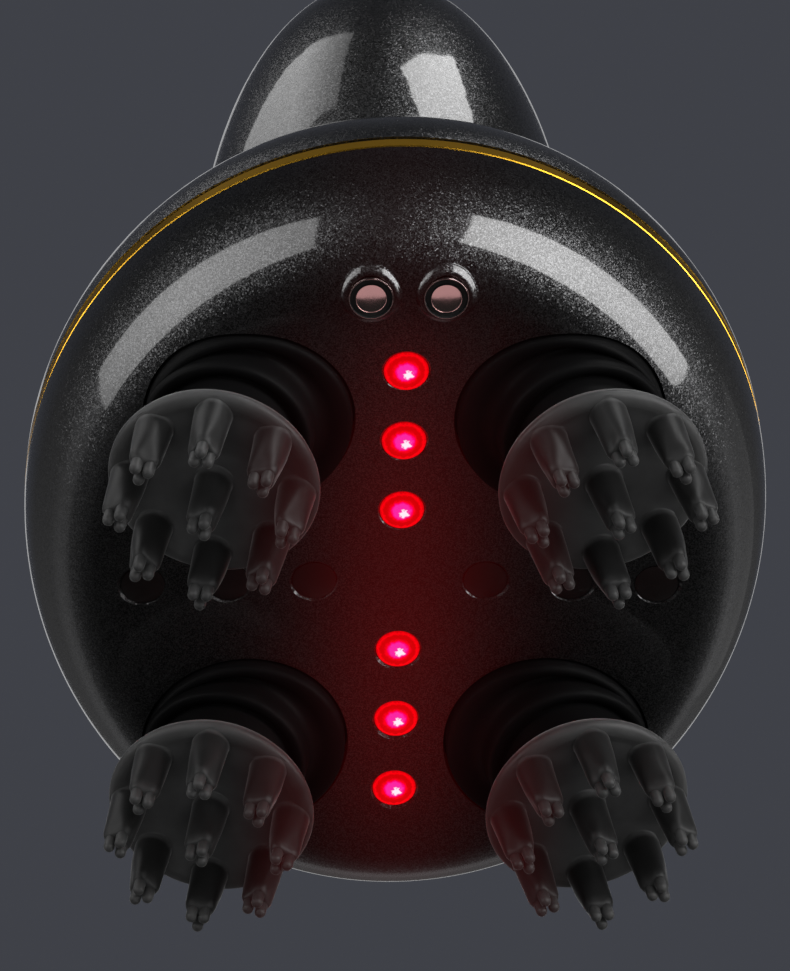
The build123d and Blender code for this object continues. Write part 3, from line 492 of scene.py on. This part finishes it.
def head_disc():
    back = curve_through([(8.4, 21.7), (9.6, 22.5), (12.2, 24.3), (13.55, 26.0)])
    rim = curve_through([(13.55, 26.0), (13.92, 26.9), (13.88, 27.5), (13.5, 27.95), (12.9, 28.14),
                         (12.3, 28.12), (11.8, 27.97), (disc_rim, disc_surface(disc_rim))], 6)
    front = [(r, disc_surface(r)) for r in np.linspace(disc_rim, 0, 10)]
    return lathe([(6.5, 21.7)] + back + rim[1:] + front[1:], 128)


def finger(x, y):
    """A blunt finger, fluted towards its end, with three round toes."""
    length = finger_end - disc_front
    outline = curve_through([(2.8, -0.1), (2.62, 0.12), (2.52, 0.5), (2.46, 2.0), (2.3, 5.0),
                             (2.05, 7.6), (1.84, 8.8), (1.5, 9.4), (0.8, 9.65)], 4)

    def lobed(radius, height, angle):
        depth = min(1, max(0, (height - flute_start) / flute_length))
        return radius * (1 + flute_depth * depth * depth * cos(3 * (angle - toe_turn)))

    def on_disc(radius, height, angle):
        there = sqrt((x + radius * cos(angle)) ** 2 + (y + radius * sin(angle)) ** 2)
        foot = max(0, 1 - height)
        return height + foot * (disc_surface(there) - disc_front)

    toe_turn = atan2(y, x) if (x or y) else 0
    body = lathe(outline + [(0, 9.7)], 42, lobed, on_disc)
    toe_top = toe_end - disc_front
    half = [(toe_radius * cos(a), toe_top - toe_radius + toe_radius * sin(a))
            for a in np.linspace(0, pi / 2, 7)]
    toe = lathe([(toe_foot * toe_radius, toe_top - toe_length)] + half, 20)
    toes = []
    for n in range(3):
        angle = toe_turn + 2 * pi * n / 3
        beside = (toe_circle * cos(angle), toe_circle * sin(angle), 0)
        toes.append(moved(toe, Matrix.Translation(beside)))
    return moved(joined(body, *toes), Matrix.Translation((x, y, disc_front)))


finger_places = [(0, 0)]
for n in range(8):
    finger_places.append((finger_circle * cos(n * pi / 4), finger_circle * sin(n * pi / 4)))

head_part = joined(head_disc(), *[finger(x, y) for x, y in finger_places])
for number, centre in heads.items():
    head = new_piece(f"soft_head_{number}", head_part, smoky_silicone, head_frame(centre), 50)
    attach(head, f"head_{number}")
    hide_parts(f"massage_head_{number}")

# ---------------------------------------------------------------- seal boots

# Each ring: radius, distance from the pivot along its own axis, share of the head's tilt.
boot_line = curve_through([
    (15.6, 7.5, 0), (15.6, 8.9, 0), (14.0, 9.0, 0), (13.72, 9.3, 0), (13.72, 11.5, 0),
    (13.7, 13.4, 0), (13.35, 14.15, 0), (12.7, 14.3, 0.05), (12.1, 14.0, 0.2),
    (11.75, 13.2, 0.55), (11.45, 13.1, 0.85), (11.3, 13.8, 1), (11.28, 15.9, 1), (11.0, 16.85, 1),
    (10.3, 17.1, 1), (9.6, 16.85, 1), (9.25, 16.5, 1), (9.05, 17.2, 1), (8.98, 20.6, 1),
    (8.8, 21.75, 1), (8.0, 21.95, 1)], 4)


def boot(centre, sides=112):
    """A bellows whose rings lean gradually from the collar's axis to the head's."""
    points = []
    for radius, distance, share in boot_line:
        matrix = head_frame(centre, share * head_tilt)
        for angle in angles_round(sides):
            here = Vector((radius * cos(angle), radius * sin(angle), distance))
            points.append(tuple((matrix @ (here * MM)) / MM))
    return points, bands(len(boot_line) - 1, sides)


for number, centre in heads.items():
    bellows = new_piece(f"bellows_{number}", boot(centre), boot_silicone, crease=60)
    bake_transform(bellows)
    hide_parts(f"seal_boot_{number}")

# ---------------------------------------------------------------- lower shell

light_places = {"red": [], "dark": []}
for step in range(-3, 4):
    if step:
        light_places["red"].append((0, step * light_pitch))
        light_places["dark"].append((step * light_pitch, 0))
contact_places = [(-contact_x, -contact_y), (contact_x, -contact_y)]
wall_step, wall_foot = 3.5, 9.0
face_rows, rollover_rows = 46, 26


def shell_height(inset):
    """Height of the roll-over at a distance in from the base's outline."""
    if inset >= rollover_width:
        return rollover_bottom
    share = (rollover_width - inset) / rollover_width
    return rollover_bottom + (ring_bottom - rollover_bottom) * (1 - sqrt(max(0, 1 - share**2)))


def skin_height(x, y, inset):
    """Height of the outer skin: dish, roll-over and the soft valley between them."""
    dish = sqrt(dish_radius**2 - x**2 - y**2) - dish_radius
    edge = shell_height(inset)
    gap = max(0, dish_blend - abs(edge - dish))
    return max(edge, dish) + gap**2 / (4 * dish_blend)


def lower_skin(sides=288):
    """The shell's outside, from the middle of the face out to the trim ring, and its inside."""
    outside = [(rollover_width, share) for share in np.linspace(0, 1, face_rows)[1:]]
    outside += [(rollover_width * (1 - sin(angle)), 1.0)
                for angle in np.linspace(0, pi / 2, rollover_rows)[1:]]
    inside = ((wall, ring_bottom), (wall + wall_step, wall_foot), (rollover_width, face_floor))
    points = []
    for inset, share in outside:
        a, b = half_width - inset, half_length - inset
        for angle in angles_round(sides):
            x, y = a * share * cos(angle), b * share * sin(angle)
            points.append((x, y, skin_height(x, y, inset)))
    for inset, height in inside:
        a, b = half_width - inset, half_length - inset
        for angle in angles_round(sides):
            points.append((a * cos(angle), b * sin(angle), height))
    faces = bands(len(outside) + 2, sides)
    last = (len(outside) + 2) * sides
    middle, roof = len(points), len(points) + 1
    points += [(0, 0, skin_height(0, 0, rollover_width)), (0, 0, face_floor)]
    for n in range(sides):
        m = (n + 1) % sides
        faces.append([middle, m, n])
        faces.append([roof, last + n, last + m])
    return points, faces


def cutter(name, parts):
    piece = new_piece(name, joined(*parts), face_paint)
    piece.hide_render = True
    return piece


def drill(x, y, radius, bottom, top, sides, countersink=0.0):
    """A round hole's space, with its mouth opened by a small countersink."""
    if countersink:
        mouth = skin_height(x, y, rollover_width)
        line = [(0, bottom), (radius + countersink + (mouth - bottom), bottom),
                (radius, mouth + countersink), (radius, top), (0, top)]
    else:
        line = [(0, bottom), (radius, bottom), (radius, top), (0, top)]
    return moved(lathe(line, sides), Matrix.Translation((x, y, 0)))


def cut(piece, tools):
    """Takes the tools' space out of a piece."""
    change = piece.modifiers.new("cut", "BOOLEAN")
    change.operation = "DIFFERENCE"
    change.solver = "EXACT"
    change.object = tools
    bpy.context.view_layer.update()
    changed = piece.evaluated_get(bpy.context.evaluated_depsgraph_get())
    result = bpy.data.meshes.new_from_object(changed)
    piece.modifiers.clear()
    piece.data = result
    bpy.data.objects.remove(tools)


level_frame = Matrix.Translation((0, 0, face_height * MM))
holes = [drill(*centre, collar_radius, bottom=-6, top=5, sides=128) for centre in heads.values()]
holes += [drill(x, y, lens_radius, bottom=-3.5, top=5, sides=64, countersink=0.26)
          for x, y in light_places["red"] + light_places["dark"]]
holes += [drill(x, y, contact_seal_radius, bottom=-5, top=7, sides=48) for x, y in contact_places]
shell = new_piece("face_shell", lower_skin(), face_paint, level_frame)
hole_tools = cutter("hole_tools", holes)
hole_tools.matrix_world = level_frame
cut(shell, hole_tools)
finish_mesh(shell, 28)
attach(shell, "housing")
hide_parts("lower_housing")

# ---------------------------------------------------------------- lights and contacts

lens_recess = 0.22
lens_line = curve_through([(2.93, 0.9), (2.93, 0.05), (2.75, -0.12), (1.6, -0.26), (0, -0.32)], 5)
lens_part = lathe([(0, 0.9)] + lens_line, 64)
for kind, node, material in (("red", "red_lenses", red_lens), ("dark", "side_lenses", dark_lens)):
    for number, (x, y) in enumerate(light_places[kind], start=1):
        height = skin_height(x, y, rollover_width) + lens_recess
        if kind == "red":
            matrix = Matrix.Translation(place(x, y, height))
            lens = new_piece(f"red_light_{number}", lens_part, material, matrix)
        else:
            part = moved(lens_part, Matrix.Translation((x, y, height)))
            lens = new_piece(f"dark_light_{number}", part, material, level_frame)
        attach(lens, "housing")
        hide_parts(node)

# Each contact sits on a small raised seat of the shell.
contact_pieces = []
contact_slope = ((ring_bottom - rollover_bottom) * (contact_y - half_length + rollover_width)
                 / rollover_width**2)
contact_rise = 0.32
seat_line = curve_through([(4.3, -0.1), (4.1, 0.0), (3.92, 0.08), (3.66, 0.36), (3.42, 0.52),
                           (3.2, 0.56), (3.04, 0.52), (2.97, 0.36), (2.96, -0.8)], 5)
pad_line = curve_through([(2.03, -1.5), (2.03, -0.04), (1.98, 0.02), (1.5, 0.08), (0.8, 0.125),
                          (0, 0.14)], 5)
lip_line = curve_through([(2.96, -0.9), (2.96, 0.0), (2.92, 0.1), (2.85, 0.14), (2.79, 0.11)], 5)
gap_line = curve_through([(2.8, 0.1), (2.74, -0.02), (2.68, -0.28), (2.4, -0.38),
                          (1.98, -0.36)], 4)
for number, (x, y) in enumerate(contact_places, start=1):

    def on_skin(radius, rise, angle, x=x, y=y):
        there = (x + radius * cos(angle), y + radius * sin(angle))
        inset = half_length - sqrt((there[0] * half_length / half_width) ** 2 + there[1] ** 2)
        return skin_height(*there, inset) - rise

    seat = moved(lathe(seat_line, 96, height_at=on_skin), Matrix.Translation((x, y, 0)))
    seat = new_piece(f"contact_seat_{number}", seat, face_paint, level_frame)
    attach(seat, "housing")
    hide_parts("lower_housing")
    height = shell_height(half_length - contact_y) - contact_rise
    matrix = axes(place(x, y, height), (1, 0, 0), (0, -contact_slope, -1))
    for name, line, finish, slot, node in (
            ("pad", pad_line, contact_metal, "contact_metal", "contact_pins"),
            ("lip", lip_line, contact_metal, "contact_metal", "contact_seals"),
            ("gap", gap_line, gasket_rubber, "gasket_rubber", "contact_seals")):
        contact = new_piece(f"contact_{name}_{number}", lathe(line, 64), finish, matrix)
        contact_pieces.append(contact)
        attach(contact, "housing")
        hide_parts(node)

# ---------------------------------------------------------------- finishes of the other nodes

finishes = {
    "upper_housing": housing_paint, "trim_ring": gold, "housing_gasket": gasket_rubber,
    "light_board": board_green, "main_board": board_green, "switch_board": board_green,
    "leds": led_white, "board_components": chip_black, "tact_switch": chip_black,
    "gearbox_base_plate": acetal, "gearbox_mid_plate": acetal, "motor_plate": acetal,
    "battery_holder": stem_plastic, "battery_cell": cell_wrap, "boot_clamp_rings": stem_plastic,
    "motor_can": can_steel, "motor_end_cap": stem_plastic, "motor_shaft": steel,
    "motor_pinion": brass, "sun_gear": acetal, "compound_gear": acetal, "sun_pin": steel,
    "layshaft_pin": steel, "button_bezel": gold, "power_button": gloss_black,
    "button_spring": steel,
}
for name, node in frame["nodes"].items():
    if name.startswith("crank_pin") or name.startswith("stem_screw"):
        finish = steel
    elif name.startswith("crank_gear"):
        finish = acetal
    elif name.startswith("head_stem"):
        finish = stem_plastic
    elif name.endswith("screws"):
        finish = zinc
    else:
        finish = finishes.get(name, housing_paint)
    node.data.materials.clear()
    node.data.materials.append(finish)
    for polygon in node.data.polygons:
        polygon.material_index = 0

# ---------------------------------------------------------------- camera

# The camera looks up at the massage face from the contact side, below the stand's level.
view_azimuth = radians(-4.212)
view_elevation = radians(-53.975)
view_roll = radians(-3.54)
view_distance = 872.3
focal_pixels = 6497.0
picture_width, picture_height = 790, 971
face_pixel_x, face_pixel_y = 399.9, 580.3
sensor = 36.0

back = Vector((sin(view_azimuth) * cos(view_elevation), -cos(view_azimuth) * cos(view_elevation),
               sin(view_elevation)))
upright = (Vector((0, 0, 1)) - back * back.z).normalized()
across = upright.cross(back)
right = across * cos(view_roll) + upright * sin(view_roll)
up = upright * cos(view_roll) - across * sin(view_roll)
aim_x = (picture_width / 2 - face_pixel_x) / focal_pixels
aim_y = (face_pixel_y - picture_height / 2) / focal_pixels
to_camera = (back - right * aim_x - up * aim_y).normalized()
right = (right - to_camera * to_camera.dot(right)).normalized()
camera_data = bpy.data.cameras.new("camera")
camera_data.sensor_width = sensor
camera_data.lens = focal_pixels * sensor / picture_height
camera_data.clip_start, camera_data.clip_end = 0.05, 20
camera = bpy.data.objects.new("camera", camera_data)
camera_turn = Matrix((right, to_camera.cross(right), to_camera)).transposed().to_4x4()
camera.matrix_world = Matrix.Translation(place(0, 0, 0) + back * view_distance * MM) @ camera_turn
bpy.context.scene.collection.objects.link(camera)
bpy.context.scene.camera = camera

# ---------------------------------------------------------------- floor, lamps and world

floor_size = 3.0
floor_colour = (0.88, 0.89, 0.91)
backdrop_colour = (0.64, 0.65, 0.67)
floor_fade = (0.1, 0.6)


def seen_from_above(graph):
    """1 for what the camera, gloss and glass see, unless the path has come up through the floor."""
    path = graph.add("LightPath").outputs
    seen = graph.maths("MAXIMUM", path["Is Camera Ray"], path["Is Glossy Ray"])
    seen = graph.maths("MAXIMUM", seen, path["Is Transmission Ray"])
    return graph.maths("MULTIPLY", seen, graph.maths("LESS_THAN", path["Transparent Depth"], 0.5))


def floor_material():
    """Pale floor that melts into the backdrop; paths that start below it pass through."""
    material, graph, inputs, local = shader("pale_floor", floor_colour, 0.6)
    melting = graph.spread(graph.vector_maths("LENGTH", local), *floor_fade, smooth=True)
    far = graph.add("Emission")
    far.inputs["Color"].default_value = (*backdrop_colour, 1)
    near = graph.nodes["Principled BSDF"].outputs["BSDF"]
    stage = graph.mix_shaders(graph.maths("MULTIPLY", melting, seen_from_above(graph)),
                              near, far.outputs["Emission"])
    depth = graph.add("LightPath").outputs["Transparent Depth"]
    passed = graph.maths("GREATER_THAN", depth, 0.5)
    from_below = graph.maths("MAXIMUM", graph.add("NewGeometry").outputs["Backfacing"], passed)
    clear = graph.add("BsdfTransparent").outputs["BSDF"]
    graph.put(graph.nodes["Material Output"].inputs["Surface"],
              graph.mix_shaders(from_below, stage, clear))
    return material


floor_corners = [(-floor_size, -floor_size, 0), (floor_size, -floor_size, 0),
                 (floor_size, floor_size, 0), (-floor_size, floor_size, 0)]
floor_mesh = bpy.data.meshes.new("floor")
floor_mesh.from_pydata(floor_corners, [], [[0, 1, 2, 3]])
floor_mesh.materials.append(floor_material())
floor = bpy.data.objects.new("floor", floor_mesh)
bpy.context.scene.collection.objects.link(floor)


def softbox(name, azimuth, elevation, distance, width, height, radiance, roll=0, shift=(0, 0),
            colour=(1, 1, 1), target=None, fade=None):
    """A soft lamp that faces its target; azimuth 0 is the contact side, and shift slides it.

    fade gives its strength at the left end, the place of its full strength, and its right end."""
    target = place(0, 0, 0) if target is None else target
    a, e = radians(azimuth), radians(elevation)
    towards = Vector((sin(a) * cos(e), -cos(a) * cos(e), sin(e)))
    data = bpy.data.lights.new(name, "AREA")
    data.shape = "RECTANGLE"
    data.size, data.size_y = width, height
    data.energy = radiance * pi * width * height
    data.color = colour
    if fade:
        data.use_nodes = True
        graph = Graph(data)
        across = graph.split(graph.add("NewGeometry").outputs["Parametric"])["X"]
        left, peak, right = fade
        stops = [(0, grey(left)), (peak, grey(1)), (1, grey(right))]
        graph.put(graph.nodes["Emission"].inputs["Strength"], graph.colours(across, stops))
    lamp = bpy.data.objects.new(name, data)
    facing = Matrix.Translation(target + towards * distance) @ (
        towards.to_track_quat("Z", "Y").to_matrix().to_4x4())
    lamp.matrix_world = (facing @ Matrix.Translation((*shift, 0))
                         @ Matrix.Rotation(radians(roll), 4, "Z"))
    lamp.visible_camera = False
    bpy.context.scene.collection.objects.link(lamp)
    return lamp


def shine_on(lamp, pieces, state="INCLUDE"):
    """Flags a lamp off, so that it lights only these pieces, or all but them."""
    lit = bpy.data.collections.new(f"{lamp.name}_flag")
    for piece in pieces:
        lit.objects.link(piece)
    for entry in lit.collection_objects:
        entry.light_linking.link_state = state
    lamp.light_linking.receiver_collection = lit


grip_left, grip_right = place(-12, -36, 68), place(8, -36, 68)
side_boxes = [
    softbox("left_box", -57, 0, 0.6, 0.80, 0.32, 3.7, roll=-8, fade=(0.55, 0.45, 0.75)),
    softbox("right_box", 53, -8, 0.6, 0.80, 0.34, 7.6, fade=(1.0, 0.4, 0.7))]
grip_boxes = [
    softbox("grip_left_box", -58, 42, 0.35, 0.36, 0.18, 3.0, roll=9, shift=(0.008, -0.015),
            target=grip_left, fade=(0.45, 0.57, 0.3)),
    softbox("grip_right_box", 40, 38, 0.35, 0.195, 0.125, 7.6, roll=15, shift=(-0.06, -0.034),
            target=grip_right)]
trim_ring = frame["nodes"]["trim_ring"]
for box in side_boxes:
    shine_on(box, [floor], "EXCLUDE")
for box in grip_boxes:
    shine_on(box, [floor, shell, trim_ring], "EXCLUDE")
softbox("rim_box", 178, 54, 1.2, 0.6, 0.6, 0.45)
softbox("back_right_box", 122, 18, 1.0, 0.7, 0.5, 0.08)
for box in (softbox("ring_card", -4, 54, 1.0, 2.0, 0.8, 0.1),
            softbox("ring_left_box", -64, 0, 0.6, 0.85, 0.3, 5.0),
            softbox("ring_right_box", 92, 0, 0.6, 0.5, 0.3, 6.0)):
    shine_on(box, [trim_ring])
contact_card = softbox("contact_card", 178, -86.5, 0.5, 0.34, 0.21, 0.62, colour=(1.0, 0.66, 0.68))
shine_on(contact_card, contact_pieces)
for box in (softbox("top_box", 178, 72, 1.1, 1.0, 1.0, 3.6),
            softbox("face_fill", -4, -60, 1.2, 1.0, 1.0, 2.3)):
    box.visible_glossy = False

# The lit lenses colour the boots and heads round them, and their own light is enough for the floor.
glow_height = -5.0
glow_energy = 0.0035
glow_colour = (1.0, 0.01, 0.015)
glow_radius = 3.0
for number, (x, y) in enumerate(light_places["red"], start=1):
    data = bpy.data.lights.new(f"glow_{number}", "POINT")
    data.energy = glow_energy
    data.color = glow_colour
    data.shadow_soft_size = glow_radius * MM
    glow = bpy.data.objects.new(f"glow_{number}", data)
    glow.location = place(x, y, glow_height)
    glow.visible_camera = False
    glow.visible_glossy = False
    bpy.context.scene.collection.objects.link(glow)
    shine_on(glow, [floor], "EXCLUDE")

# The world is brightest near the horizon and on the grip's far side. From above the floor, what the
# camera and gloss see of its low part is the pale backdrop.
horizon_greys = ((-44, 0.05), (-8, 0.12), (-2, 0.27), (7, 0.27), (19, 0.12), (40, 0.055))
low_sky_fade = (0.42, 0.1)
world = bpy.data.worlds.new("studio")
bpy.context.scene.world = world
world.use_nodes = True
graph = Graph(world)
direction = graph.split(graph.add("TexCoord").outputs["Generated"])
stops = [(0.09, grey(0.022))]
for elevation, level in horizon_greys:
    stops.append(((1 + sin(radians(elevation))) / 2, (level, level, 1.02 * level)))
stops.append((0.88, (0.05, 0.053, 0.064)))
surround = graph.colours(graph.spread(direction["Z"], start=-1.0), stops)
low_sky = graph.maths("MULTIPLY", graph.spread(direction["Z"], *low_sky_fade, smooth=True),
                      seen_from_above(graph))
brightness = graph.spread(direction["Y"], -0.7, 0.2, 0.3, 1.0)
background = graph.nodes["Background"].inputs
graph.put(background["Color"], graph.mix(low_sky, surround, (*backdrop_colour, 1)))
graph.put(background["Strength"], graph.mix(low_sky, brightness, 1.0, data_type="FLOAT"))

bpy.context.scene.view_settings.view_transform = "Standard"
